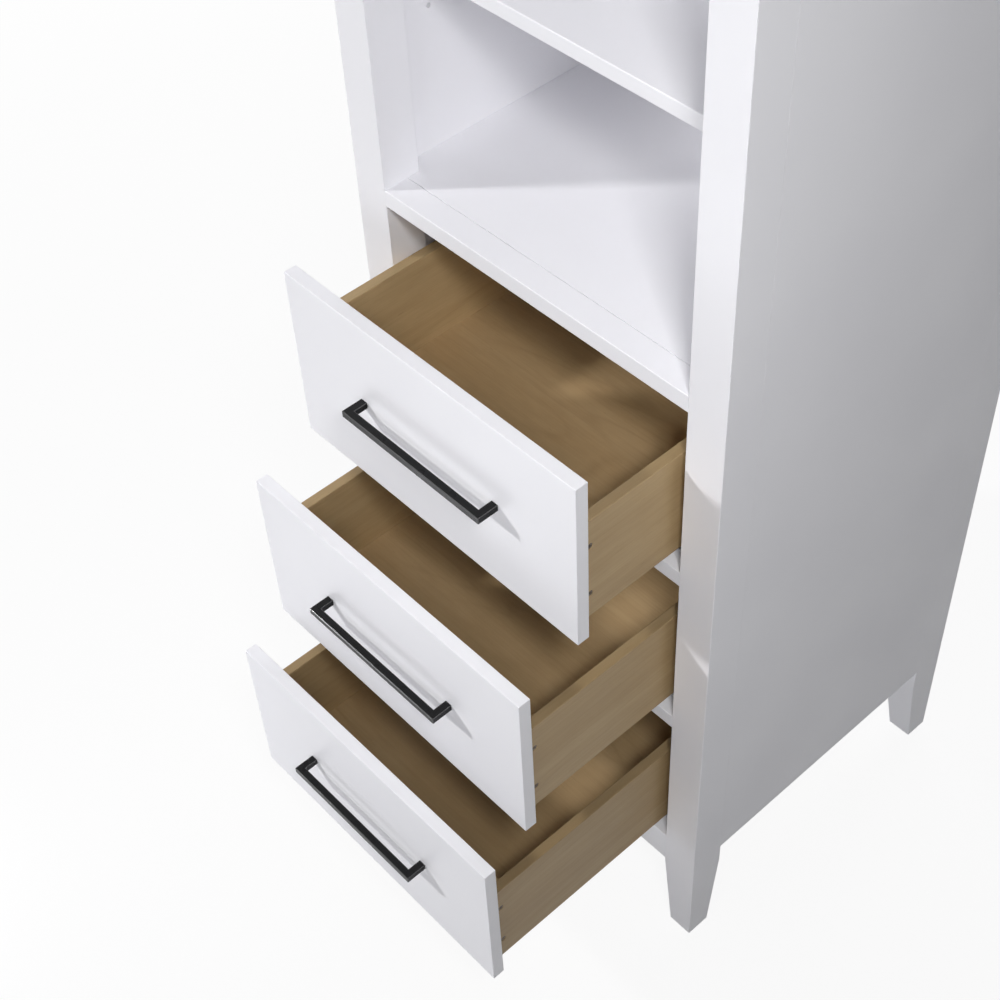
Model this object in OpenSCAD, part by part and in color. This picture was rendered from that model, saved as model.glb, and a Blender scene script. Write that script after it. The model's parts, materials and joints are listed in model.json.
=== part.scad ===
// Tall bathroom linen cabinet: three full-inset drawers below, open shelves above.
// Origin: centre of the footprint, on the floor. +Z is up and the drawers open towards -Y.
// The drawers stand open at rest, as in the photograph: see the openings in [Drawer stack].

/* [Carcass] */
// Overall width, across the outer faces of the posts
body_w = 510; // [460:5:600]
// Overall depth, across the front and back faces of the posts
body_d = 460; // [400:5:560]
// Overall height, floor to the top of the top board
body_h = 1700; // [1660:5:1900]
// Side of the square corner posts
post = 46; // [42:1:54]
// Side of each post's foot, where the leg taper ends
foot = 32; // [26:1:38]
// Height of the tapered part of the legs
taper_h = 120; // [60:5:120]
// Thickness of the side panels
side_t = 27; // [20:1:30]
// Height of the side panels' lower edge above the floor
side_z = 155; // [135:1:158]
// Thickness of the top board
top_t = 20; // [16:1:28]
// Thickness of the back panel
back_t = 6; // [4:0.5:9]
// Thickness of the deck board and the bottom board
board_t = 16; // [12:1:18]

/* [Rails] */
// Height of the bottom rail's lower edge above the floor
apron_z = 128; // [126:1:135]
// Height of the bottom rail and the top rail
apron_h = 49; // [44:1:60]
// Thickness of the bottom rail, the top rail and the rear rails
apron_t = 20; // [18:1:24]
// Height of the rails between the drawers and of the deck rail
rail_h = 20; // [18:1:26]
// Depth of the rails between the drawers, front to back
rail_d = 40; // [30:1:44]
// Depth of the deck rail, front to seam
deck_rail_d = 30; // [24:1:40]
// Height of the rear rails
rear_rail_h = 80; // [60:5:110]

/* [Drawer stack] */
// Height of each drawer opening
opening_h = 221; // [212:1:235]
// How far the top drawer stands open at rest
open_top = 135; // [0:1:300]
// How far the middle drawer stands open at rest
open_middle = 213; // [0:1:300]
// How far the bottom drawer stands open at rest
open_bottom = 272; // [0:1:300]

/* [Drawer fronts] */
// Thickness of the drawer fronts
front_t = 15; // [14:0.5:19]
// Gap between a drawer front and the post beside it
front_gap_x = 3.5; // [2:0.5:5]
// Gap between a drawer front and the rail above or below it
front_gap_z = 2.5; // [1.5:0.5:4]

/* [Drawer boxes] */
// Gap between a closed drawer's box and the back panel
box_back_gap = 19; // [17:1:40]
// Height of the drawer boxes
box_h = 135; // [120:1:160]
// Thickness of the box sides
box_wall = 12; // [11:0.5:15]
// Thickness of the board behind the drawer front
box_front_t = 18; // [15:1:20]
// Thickness of the box back
box_back_t = 12; // [11:0.5:16]
// Thickness of the box bottom
box_bottom_t = 5; // [4:0.5:6]
// Gap between a box side and the post beside it
box_gap = 11; // [9:0.5:13]
// Height of a box's lower edge above the lower edge of its front
box_raise = 18; // [16:1:24]
// Height of the slide's space under the box bottom
recess = 13; // [12:0.5:16]
// Depth of the grooves that hold the box bottom
groove = 6; // [4:0.5:8]

/* [Pulls] */
// Distance between the centres of a pull's two feet
pull_span = 192; // [96:32:256]
// Width of the pull's bar, and of its feet
pull_bar = 9; // [9:0.5:12]
// Height of the pull's bar
pull_h = 8; // [8:0.5:10]
// How far the pull stands out from the drawer front
pull_reach = 25.5; // [22:0.5:36]
// Height from a drawer front's top edge down to the centre of its pull
pull_drop = 104; // [90:1:120]

/* [Drawer slides] */
// Gap between the slides' fixed members and the back panel
slide_back_gap = 15; // [12:1:40]
// Thickness of the slides' sheet steel
steel_t = 1.5; // [1:0.25:2]
// Width of the slides' running channel
channel_w = 28; // [24:1:32]
// Gap between a box side and the running channel beside it
channel_gap = 3; // [1.5:0.5:5]
// Running clearance between two members
slide_gap = 0.3; // [0.2:0.05:0.4]
// Height of a fixed member above the floor of its opening
slide_lift = 4; // [2:0.5:5]
// Height of a fixed member's side lips
lip_h = 10; // [8:0.5:11]
// Height of a fixed member's screw flange
flange_h = 32; // [24:1:36]
// Height of the cleats that carry the slides
cleat_h = 40; // [36:1:60]

/* [Shelves] */
// Thickness of the adjustable shelves
shelf_t = 16; // [14:1:22]
// Clear height of the lower two open bays
bay_h = 235; // [215:1:245]
// Radius of the shelf pins
pin_r = 2.5; // [2:0.25:3]
// Distance from a post to the nearest row of shelf pins
pin_inset = 44; // [30:1:80]
// Distance between two holes of a row
pin_pitch = 35; // [28:1:38]
// Holes above and below the one in use
pin_spare = 2; // [0:1:2]

/* [Fasteners and feet] */
// Radius of the wood screws
screw_r = 2; // [1.5:0.25:2.25]
// Length of the wood screws
screw_len = 30; // [26:1:31]
// Height of the lower box screws above the box's lower edge
screw_low = 33; // [28:1:40]
// Height of the upper box screws above the box's lower edge
screw_high = 100; // [80:1:112]
// Radius of the pull screws
pull_screw_r = 2; // [1.5:0.25:2]
// Radius of the wall screw holes in the upper rear rail
wall_hole_r = 2.75; // [2.25:0.25:4]
// Distance between the wall screw holes
wall_span = 200; // [100:10:300]
// Height of the foot glides
glide_h = 3; // [2:0.5:5]
// Radius of the foot glides
glide_r = 11; // [8:0.5:12]

/* [Hidden] */

$fn = 32;
paint = [0.93, 0.93, 0.94];
maple = [0.76, 0.64, 0.47];
zinc = [0.66, 0.67, 0.69];
black = [0.10, 0.10, 0.11];
plastic = [0.85, 0.85, 0.83];

// Drawers from the top down
TOP = 0;
MIDDLE = 1;
BOTTOM = 2;
drawer_count = 3;
function open_by(i) = [open_top, open_middle, open_bottom][i];

// Joinery: tenons and tongues with their mortises and grooves
joint_gap = 0.2;
shoulder = 5;
tenon_len = 20;
tongue_t = 9;
tongue_d = 8;
dado = 6;
board_tongue = 6;

// How far a cutter runs past the face that it opens
over = 1;

front_y = -body_d / 2;
back_y = body_d / 2;
half_w = body_w / 2;
open_x = half_w - post;
panel_x = half_w - side_t;
post_back_y = front_y + post;
post_rear_y = back_y - post;
post_top = body_h - top_t;
back_panel_y = back_y - apron_t - back_t;
top_rail_z = post_top - apron_h;

function opening_z(i) = apron_z + apron_h + (drawer_count - 1 - i) * (opening_h + rail_h);
deck_z = opening_z(TOP) + opening_h;
deck_top = deck_z + rail_h;
lower_shelf_z = deck_top + bay_h;
upper_shelf_z = lower_shelf_z + shelf_t + bay_h;

// Drawer front and box, seen from the front face and the floor of the opening
front_w = 2 * (open_x - front_gap_x);
front_h = opening_h - 2 * front_gap_z;
box_x = open_x - box_gap;
box_inner_x = box_x - box_wall;
box_z = front_gap_z + box_raise;
box_top = box_z + box_h;
box_bottom_z = box_z + recess;
box_back_z = box_bottom_z + box_bottom_t;
box_back_y = back_panel_y - front_y - box_back_gap;
pull_z = front_gap_z + front_h - pull_drop;

// Slides, in heights above the floor of the opening
slide_setback = 4;
middle_setback = 2;
inner_setback = 1;
lip_step = 3;
cleat_drop = 2;
slide_y = front_t + slide_setback;
slide_len = back_panel_y - front_y - slide_back_gap - slide_y;
middle_y = front_t + box_front_t + middle_setback;
middle_len = box_back_y - middle_y;
inner_y = front_t + box_front_t + inner_setback;
inner_len = box_back_y - inner_y;
channel_x = box_gap + box_wall + channel_gap;
channel_end = channel_x + channel_w;
tube_x = channel_x + steel_t + slide_gap;
tube_w = channel_w - 2 * (steel_t + slide_gap);
tube_z = slide_lift + steel_t + slide_gap;
tube_top = box_bottom_z - steel_t - slide_gap;
inner_lip_z = slide_lift + lip_h + lip_step;
hook_h = 14;
hook_w = 18;
cleat_t = post - side_t;
cleat_z = slide_lift - cleat_drop;
slide_screw_z = slide_lift + flange_h / 2;
slide_screw_inset = 60;
function slide_screw_ys() = [
    slide_y + slide_screw_inset,
    slide_y + slide_len / 2,
    slide_y + slide_len - slide_screw_inset
];

// Shelf pins: a plug in the side panel, a collar and a peg
pin_plug = 8;
pin_peg = 9;
collar_lap = 1.2;
collar_r = pin_r + collar_lap;
collar_t = 1.5;
hole_gap = 0.1;
function pin_ys() = [post_back_y + pin_inset, post_rear_y - pin_inset];
shelf_play = 0.3;
shelf_gap = collar_t + shelf_play;
shelf_front_gap = 1;

// Screws: shank, countersunk head, and the holes that take them
head_r = 2 * screw_r;
head_h = 2.5;
bore_gap = 0.05;
clear_gap = 0.3;
slide_screw_len = 16;
pan_h = 2;
pull_bite = 8;
pull_head_r = 4;
front_screw_x = 140;
front_skin = 3;
front_screw_len = box_front_t + front_t - front_skin;
nail_r = 1.2;
nail_len = 12;

// Carries its children onto both sides of the cabinet
module both_sides() {
    children();
    mirror([1, 0, 0]) children();
}

// A box given by its low and high corners
module block(low, high) {
    translate(low) cube(high - low);
}

// A rail between the posts, with a tenon at each end; grow widens it into the mortise cutter
module rail_with_tenons(y, z, d, h, grow = 0) {
    reach = open_x + tenon_len + grow;
    block([-open_x, y, z], [open_x, y + d, z + h]);
    block([-reach, y + shoulder - grow, z + shoulder - grow],
          [reach, y + d - shoulder + grow, z + h - shoulder + grow]);
}

// The rails at the front, grown by grow
module front_rails(grow) {
    rail_with_tenons(front_y, top_rail_z, apron_t, apron_h, grow);
    rail_with_tenons(front_y, deck_z, deck_rail_d, rail_h, grow);
    rail_with_tenons(front_y, opening_z(TOP) - rail_h, rail_d, rail_h, grow);
    rail_with_tenons(front_y, opening_z(MIDDLE) - rail_h, rail_d, rail_h, grow);
    rail_with_tenons(front_y, apron_z, apron_t, apron_h, grow);
}

// The rails at the back, grown by grow
module rear_rails(grow) {
    rail_with_tenons(back_y - apron_t, post_top - rear_rail_h, apron_t, rear_rail_h, grow);
    rail_with_tenons(back_y - apron_t, side_z, apron_t, rear_rail_h, grow);
}

// Outline of a right-hand post from the front: the leg tapers on its inner face only
module post_outline() {
    polygon([
        [half_w, glide_h],
        [half_w, post_top],
        [open_x, post_top],
        [open_x, glide_h + taper_h],
        [half_w - foot, glide_h]
    ]);
}

// A right-hand front post, tapered on the inner and rear faces of its leg
module post_blank() {
    intersection() {
        translate([0, post_back_y, 0]) rotate([90, 0, 0]) linear_extrude(post) post_outline();
        translate([half_w, front_y + half_w, 0])
            rotate([90, 0, -90])
            linear_extrude(post)
            post_outline();
    }
}

// Side panel's tongues, or with grow the grooves in the posts that take them
module panel_tongues(grow = 0) {
    x = half_w - side_t / 2 - tongue_t / 2;
    reach = tongue_d + grow;
    block([x - grow, post_back_y - reach, side_z - grow],
          [x + tongue_t + grow, post_rear_y + reach, post_top + grow]);
}

// The hole for a foot glide's nail
module glide_nail(r) {
    cylinder(r = r, h = nail_len + glide_h);
}

// Centre of the front right foot
module at_front_foot() {
    translate([half_w - foot / 2, front_y + foot / 2, 0]) children();
}

// A right-hand front post with its grooves and mortises
module front_post() {
    color(paint)
    difference() {
        post_blank();
        panel_tongues(joint_gap);
        front_rails(joint_gap);
        at_front_foot() glide_nail(nail_r + bore_gap);
    }
}

// A right-hand rear post, the front one turned round, with the back panel's groove too
module rear_post() {
    color(paint)
    difference() {
        mirror([0, 1, 0]) post_blank();
        panel_tongues(joint_gap);
        rear_rails(joint_gap);
        back_sheet(joint_gap);
        mirror([0, 1, 0]) at_front_foot() glide_nail(nail_r + bore_gap);
    }
}

// The back panel, or with grow the groove that takes it
module back_sheet(grow = 0) {
    block([-open_x - dado - grow, back_panel_y - grow, side_z],
          [open_x + dado + grow, back_panel_y + back_t + grow, post_top]);
}

// The cutters for the wall screws, through the upper rear rail and the back panel
module wall_holes() {
    for (side = [-1, 1])
        translate([side * wall_span / 2, back_panel_y - over, post_top - rear_rail_h / 2])
            rotate([-90, 0, 0])
            cylinder(r = wall_hole_r, h = back_t + apron_t + 2 * over);
}

module back_panel() {
    color(paint)
    difference() {
        back_sheet();
        wall_holes();
    }
}

// A right-hand side panel, with grooves for the boards and holes for the shelf pins
module side_panel() {
    color(paint)
    difference() {
        union() {
            block([panel_x, post_back_y, side_z], [half_w, post_rear_y, post_top]);
            panel_tongues();
        }
        board_body(deck_top - board_t, deck_rail_d, joint_gap);
        board_body(apron_z + apron_h - board_t, apron_t, joint_gap);
        for (z = [lower_shelf_z, upper_shelf_z]) pin_hole_rows(z);
    }
}

// One row of pin holes for a shelf at height z, at each end of the side panel
module pin_hole_rows(z) {
    for (y = pin_ys(), k = [-pin_spare : pin_spare])
        translate([panel_x - over, y, z - pin_r + k * pin_pitch])
            rotate([0, 90, 0])
            cylinder(r = pin_r + hole_gap, h = pin_plug + 2 * over);
}

// A board that fills the carcass and sits in the side panels; grow makes its groove cutter
module board_body(z, front, grow = 0) {
    block([-panel_x - dado - grow, post_back_y + joint_gap - grow, z - grow],
          [panel_x + dado + grow, post_rear_y - joint_gap + grow, z + board_t + grow]);
    block([-open_x + joint_gap, front_y + front, z],
          [open_x - joint_gap, back_panel_y, z + board_t]);
}

// The tongue on a board's front edge, or with grow the groove in the rail
module board_lip(z, front, grow = 0) {
    third = board_t / 3;
    block([-open_x + joint_gap - grow, front_y + front - board_tongue - grow, z + third - grow],
          [open_x - joint_gap + grow, front_y + front + over, z + 2 * third + grow]);
}

module board(z, front) {
    color(paint) {
        board_body(z, front);
        board_lip(z, front);
    }
}

module deck_board() {
    board(deck_top - board_t, deck_rail_d);
}

module bottom_board() {
    board(apron_z + apron_h - board_t, apron_t);
}

module top_board() {
    color(paint) block([-half_w, front_y, post_top], [half_w, back_y, body_h]);
}

module top_rail() {
    color(paint) rail_with_tenons(front_y, top_rail_z, apron_t, apron_h);
}

module deck_rail() {
    color(paint)
    difference() {
        rail_with_tenons(front_y, deck_z, deck_rail_d, rail_h);
        board_lip(deck_top - board_t, deck_rail_d, joint_gap);
    }
}

module drawer_rail(i) {
    color(paint) rail_with_tenons(front_y, opening_z(i) - rail_h, rail_d, rail_h);
}

module bottom_rail() {
    color(paint)
    difference() {
        rail_with_tenons(front_y, apron_z, apron_t, apron_h);
        board_lip(apron_z + apron_h - board_t, apron_t, joint_gap);
    }
}

module rear_top_rail() {
    color(paint)
    difference() {
        rail_with_tenons(back_y - apron_t, post_top - rear_rail_h, apron_t, rear_rail_h);
        wall_holes();
    }
}

module rear_bottom_rail() {
    color(paint) rail_with_tenons(back_y - apron_t, side_z, apron_t, rear_rail_h);
}

// An adjustable shelf behind the posts, resting on its pins
module shelf(z) {
    reach = panel_x - shelf_gap;
    rear_reach = open_x - shelf_gap;
    shoulder_y = post_rear_y - shelf_front_gap;
    color(paint) {
        block([-reach, post_back_y + shelf_front_gap, z], [reach, shoulder_y, z + shelf_t]);
        block([-rear_reach, shoulder_y, z], [rear_reach, back_panel_y - shelf_gap, z + shelf_t]);
    }
}

// One shelf pin in the right side panel
module shelf_pin() {
    translate([panel_x, 0, 0]) rotate([0, 90, 0]) cylinder(r = pin_r, h = pin_plug);
    translate([panel_x - collar_t, 0, 0]) rotate([0, 90, 0]) cylinder(r = collar_r, h = collar_t);
    translate([panel_x - collar_t - pin_peg, 0, 0]) rotate([0, 90, 0]) cylinder(r = pin_r, h = pin_peg);
}

module shelf_pins() {
    color(zinc)
    both_sides()
    for (z = [lower_shelf_z, upper_shelf_z], y = pin_ys())
        translate([0, y, z - pin_r]) shelf_pin();
}

module foot_glides() {
    color(plastic)
    both_sides()
    for (turn = [0, 1])
        mirror([0, turn, 0])
        at_front_foot() {
            cylinder(r = glide_r, h = glide_h);
            glide_nail(nail_r);
        }
}

// The cleats on the right side panel, one beside each drawer box
module slide_cleats() {
    color(maple)
    difference() {
        for (i = [TOP : BOTTOM])
            block([open_x, post_back_y + joint_gap, opening_z(i) + cleat_z],
                  [panel_x, post_rear_y - joint_gap, opening_z(i) + cleat_z + cleat_h]);
        at_slide_screws() cylinder(r = screw_r + bore_gap, h = slide_screw_len + over);
    }
}

// Places of the right-hand slide screws: +Z points into the cleat
module at_slide_screws() {
    for (i = [TOP : BOTTOM], y = slide_screw_ys())
        translate([open_x - steel_t, front_y + y, opening_z(i) + slide_screw_z])
            rotate([0, 90, 0])
            children();
}

module slide_screws() {
    color(zinc)
    both_sides()
    at_slide_screws() {
        cylinder(r = screw_r, h = slide_screw_len);
        translate([0, 0, -pan_h]) cylinder(r = head_r, h = pan_h);
    }
}

// A steel strip along the right-hand slide: u runs inwards from the opening's side
module strip(u, z, y, length) {
    block([open_x - u[1], y, z[0]], [open_x - u[0], y + length, z[1]]);
}

// The fixed member: a flange on the cleat, a floor, and two lips that hold the middle member
module slide_fixed(i) {
    color(zinc)
    both_sides()
    difference() {
        translate([0, front_y, opening_z(i)]) {
            floor_z = [slide_lift, slide_lift + steel_t];
            lip_z = [slide_lift, slide_lift + lip_h];
            strip([0, steel_t], [slide_lift, slide_lift + flange_h], slide_y, slide_len);
            strip([0, channel_end], floor_z, slide_y, slide_len);
            strip([channel_x, channel_x + steel_t], lip_z, slide_y, slide_len);
            strip([channel_end - steel_t, channel_end], lip_z, slide_y, slide_len);
        }
        at_slide_screws()
            translate([0, 0, -over])
            cylinder(r = screw_r + bore_gap, h = steel_t + 2 * over);
    }
}

// The middle member: a tube that runs between the other two at half their speed
module slide_middle(i) {
    color(zinc)
    both_sides()
    translate([0, front_y - open_by(i) / 2, opening_z(i)])
    difference() {
        strip([tube_x, tube_x + tube_w], [tube_z, tube_top], middle_y, middle_len);
        strip([tube_x + steel_t, tube_x + tube_w - steel_t],
              [tube_z + steel_t, tube_top - steel_t], middle_y - over, middle_len + 2 * over);
    }
}

// Puts its children in the frame of drawer i: front face at y 0, floor of the opening at z 0
module in_drawer(i) {
    translate([0, front_y - open_by(i), opening_z(i)]) children();
}

// The inner member: a cap under the box bottom, with a hook behind the box back
module slide_inner(i) {
    cap_z = box_bottom_z - steel_t;
    lip_z = [inner_lip_z, box_bottom_z];
    hook_u = channel_x + (channel_w - hook_w) / 2;
    color(zinc)
    both_sides()
    in_drawer(i) {
        strip([channel_x, channel_end], [cap_z, box_bottom_z], inner_y, inner_len + steel_t);
        strip([channel_x, channel_x + steel_t], lip_z, inner_y, inner_len);
        strip([channel_end - steel_t, channel_end], lip_z, inner_y, inner_len);
        strip([hook_u, hook_u + hook_w], [cap_z, box_bottom_z + hook_h], box_back_y, steel_t);
    }
}

// Places of the pull's two screws: +Z points out of the drawer front
module at_pull_screws() {
    for (side = [-1, 1])
        translate([side * pull_span / 2, 0, pull_z])
            rotate([90, 0, 0])
            children();
}

// The holes for the pull's screws, through the drawer front and the board behind it
module pull_screw_holes() {
    depth = front_t + box_front_t;
    at_pull_screws()
        translate([0, 0, -depth - over])
        cylinder(r = pull_screw_r + clear_gap, h = depth + 2 * over);
}

// A countersunk wood screw driven towards +Z, or with grow the hole that takes it
module wood_screw(length, grow) {
    cylinder(r = screw_r + grow, h = length + grow);
    cylinder(r1 = head_r + grow, r2 = screw_r + grow, h = head_h);
}

// The box's screws: from the sides into both ends, and from the box front into the drawer front
module wood_screws(grow = 0) {
    board_ys = [front_t + box_front_t / 2, box_back_y - box_back_t / 2];
    both_sides()
    for (z = [screw_low, screw_high]) {
        for (y = board_ys)
            translate([box_x, y, box_z + z]) rotate([0, -90, 0]) wood_screw(screw_len, grow);
        translate([front_screw_x, front_t + box_front_t, box_z + z])
            rotate([90, 0, 0])
            wood_screw(front_screw_len, grow);
    }
}

module drawer_front(i) {
    color(paint)
    in_drawer(i)
    difference() {
        block([-front_w / 2, 0, front_gap_z], [front_w / 2, front_t, front_gap_z + front_h]);
        pull_screw_holes();
        wood_screws(bore_gap);
    }
}

// The groove that holds the box bottom, cut from the box sides and the box front
module bottom_groove() {
    reach = box_inner_x + groove;
    block([-reach, front_t + box_front_t - groove, box_bottom_z],
          [reach, box_back_y + over, box_back_z]);
}

module box_side(i) {
    color(maple)
    in_drawer(i)
    difference() {
        block([box_inner_x, front_t, box_z], [box_x, box_back_y, box_top]);
        bottom_groove();
        wood_screws(bore_gap);
    }
}

module box_front(i) {
    color(maple)
    in_drawer(i)
    difference() {
        block([-box_inner_x, front_t, box_z], [box_inner_x, front_t + box_front_t, box_top]);
        bottom_groove();
        wood_screws(bore_gap);
        pull_screw_holes();
    }
}

module box_back(i) {
    color(maple)
    in_drawer(i)
    difference() {
        block([-box_inner_x, box_back_y - box_back_t, box_back_z], [box_inner_x, box_back_y, box_top]);
        wood_screws(bore_gap);
    }
}

module box_bottom(i) {
    reach = box_inner_x + groove - joint_gap;
    edge_y = front_t + box_front_t - groove + joint_gap;
    color(maple)
    in_drawer(i)
    block([-reach, edge_y, box_bottom_z], [reach, box_back_y, box_back_z]);
}

module box_screws(i) {
    color(zinc) in_drawer(i) wood_screws();
}

// A square bar pull: two feet and a bar, tapped for its screws
module pull(i) {
    outer = pull_span / 2 + pull_bar / 2;
    low = pull_z - pull_h / 2;
    color(black)
    in_drawer(i)
    difference() {
        block([-outer, -pull_reach, low], [outer, 0, low + pull_h]);
        block([pull_bar - outer, pull_bar - pull_reach, low - over],
              [outer - pull_bar, over, low + pull_h + over]);
        at_pull_screws()
            translate([0, 0, -over])
            cylinder(r = pull_screw_r + bore_gap, h = pull_bite + 2 * over);
    }
}

module pull_screws(i) {
    depth = front_t + box_front_t;
    color(zinc)
    in_drawer(i)
    at_pull_screws() {
        translate([0, 0, -depth]) cylinder(r = pull_screw_r, h = depth + pull_bite);
        translate([0, 0, -depth - pan_h]) cylinder(r = pull_head_r, h = pan_h);
    }
}

mirror([1, 0, 0]) front_post();  // post_front_left
front_post();  // post_front_right
mirror([1, 0, 0]) rear_post();  // post_rear_left
rear_post();  // post_rear_right
mirror([1, 0, 0]) side_panel();  // side_panel_left
side_panel();  // side_panel_right
back_panel();
top_board();
top_rail();
deck_rail();
drawer_rail(TOP);  // upper_drawer_rail
drawer_rail(MIDDLE);  // lower_drawer_rail
bottom_rail();
rear_top_rail();
rear_bottom_rail();
deck_board();
bottom_board();
shelf(lower_shelf_z);  // lower_shelf
shelf(upper_shelf_z);  // upper_shelf
shelf_pins();
foot_glides();
mirror([1, 0, 0]) slide_cleats();  // slide_cleats_left
slide_cleats();  // slide_cleats_right
slide_screws();
slide_fixed(TOP);  // top_slide_fixed
slide_middle(TOP);  // top_slide_middle
slide_inner(TOP);  // top_slide_inner
drawer_front(TOP);  // top_drawer_front
mirror([1, 0, 0]) box_side(TOP);  // top_box_left
box_side(TOP);  // top_box_right
box_front(TOP);  // top_box_front
box_back(TOP);  // top_box_back
box_bottom(TOP);  // top_box_bottom
box_screws(TOP);  // top_box_screws
pull(TOP);  // top_pull
pull_screws(TOP);  // top_pull_screws
slide_fixed(MIDDLE);  // middle_slide_fixed
slide_middle(MIDDLE);  // middle_slide_middle
slide_inner(MIDDLE);  // middle_slide_inner
drawer_front(MIDDLE);  // middle_drawer_front
mirror([1, 0, 0]) box_side(MIDDLE);  // middle_box_left
box_side(MIDDLE);  // middle_box_right
box_front(MIDDLE);  // middle_box_front
box_back(MIDDLE);  // middle_box_back
box_bottom(MIDDLE);  // middle_box_bottom
box_screws(MIDDLE);  // middle_box_screws
pull(MIDDLE);  // middle_pull
pull_screws(MIDDLE);  // middle_pull_screws
slide_fixed(BOTTOM);  // bottom_slide_fixed
slide_middle(BOTTOM);  // bottom_slide_middle
slide_inner(BOTTOM);  // bottom_slide_inner
drawer_front(BOTTOM);  // bottom_drawer_front
mirror([1, 0, 0]) box_side(BOTTOM);  // bottom_box_left
box_side(BOTTOM);  // bottom_box_right
box_front(BOTTOM);  // bottom_box_front
box_back(BOTTOM);  // bottom_box_back
box_bottom(BOTTOM);  // bottom_box_bottom
box_screws(BOTTOM);  // bottom_box_screws
pull(BOTTOM);  // bottom_pull
pull_screws(BOTTOM);  // bottom_pull_screws
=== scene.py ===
"""Looks of a tall white bathroom linen cabinet, dressed over its fixed frame.

Every piece takes its size and place from the frame's own nodes. Lengths are in metres, +Z is up, and the drawers
open towards -Y.
"""
import json
import logging
import math
from abc import ABC, abstractmethod
from dataclasses import dataclass, field, replace
from enum import Enum
from typing import ClassVar

import bmesh
import bpy
from bmesh.types import BMEdge, BMesh, BMFace, BMVert
from bpy.types import Material, Node, NodeSocket, Object, World
from mathutils import Matrix, Vector

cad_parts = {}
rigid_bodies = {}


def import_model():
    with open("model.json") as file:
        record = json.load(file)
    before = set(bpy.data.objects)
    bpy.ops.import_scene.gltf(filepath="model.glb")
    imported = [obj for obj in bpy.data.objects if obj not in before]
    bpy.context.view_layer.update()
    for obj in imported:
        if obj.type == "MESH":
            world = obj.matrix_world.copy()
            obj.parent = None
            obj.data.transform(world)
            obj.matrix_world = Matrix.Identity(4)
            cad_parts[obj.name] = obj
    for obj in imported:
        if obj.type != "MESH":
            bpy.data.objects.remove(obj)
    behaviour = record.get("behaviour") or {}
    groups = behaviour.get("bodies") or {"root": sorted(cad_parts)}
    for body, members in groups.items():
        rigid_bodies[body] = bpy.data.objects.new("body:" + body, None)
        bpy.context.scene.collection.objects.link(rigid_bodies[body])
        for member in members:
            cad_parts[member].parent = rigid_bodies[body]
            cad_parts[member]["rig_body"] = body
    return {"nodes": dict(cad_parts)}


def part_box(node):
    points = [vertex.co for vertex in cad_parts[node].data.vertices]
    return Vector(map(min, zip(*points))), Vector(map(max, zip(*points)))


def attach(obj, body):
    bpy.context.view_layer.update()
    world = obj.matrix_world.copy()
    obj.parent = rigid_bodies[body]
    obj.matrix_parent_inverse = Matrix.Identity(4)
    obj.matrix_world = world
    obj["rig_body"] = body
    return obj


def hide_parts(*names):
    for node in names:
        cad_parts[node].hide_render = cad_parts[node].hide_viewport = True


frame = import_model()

log = logging.getLogger("cabinet")

Point = tuple[float, float, float]
Colour = tuple[float, float, float]
Range = tuple[float, float]
SAME = 1e-5
MERGE = 1e-6
FLAT = math.radians(0.5)
# Where the values of a noise pattern lie: most of them, and the core of them
MOST = (0.30, 0.70)
CORE = (0.35, 0.65)


class Axis(Enum):
    """An axis of the cabinet's frame."""

    X = 0
    Y = 1
    Z = 2

    @property
    def others(self) -> list[int]:
        """The numbers of the two other axes."""
        return [i for i in range(3) if i != self.value]


class Head(Enum):
    """The shape of a screw's head."""

    COUNTERSUNK = "countersunk"
    PAN = "pan"


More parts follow.
